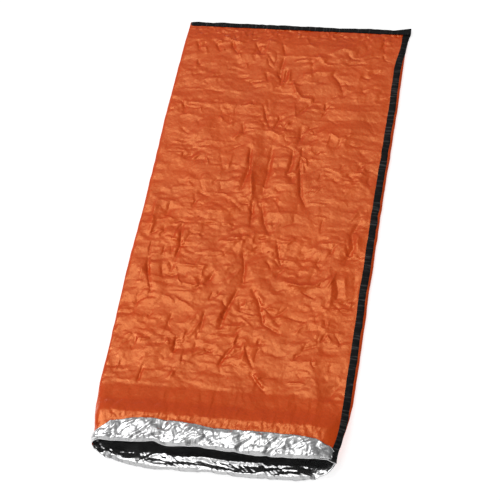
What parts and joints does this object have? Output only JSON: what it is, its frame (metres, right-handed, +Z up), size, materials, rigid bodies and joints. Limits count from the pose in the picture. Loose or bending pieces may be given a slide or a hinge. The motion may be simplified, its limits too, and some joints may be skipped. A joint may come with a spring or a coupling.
{
  "type": "emergency sleeping bag",
  "caption": "Emergency sleeping bag of thin crinkled film, orange outside and silver inside, laid flat with its mouth turned back and black binding along one side and the foot.",
  "frame": {"origin": "on the surface that the bag lies on, in the middle of its overall width and length", "axes": "+Y from the open mouth towards the bound foot, +X towards the side with the bound seam, +Z up out of the surface"},
  "size_m": [0.925, 2.0615, 0.0674],
  "materials": {
    "orange_film": "satin orange outside, bright silver metallised inside",
    "black_tape": "matt woven binding tape"
  },
  "bodies": {
    "root": {"bag_film": "orange_film", "side_tape": "black_tape", "foot_tape": "black_tape"}
  },
  "joints": []
}
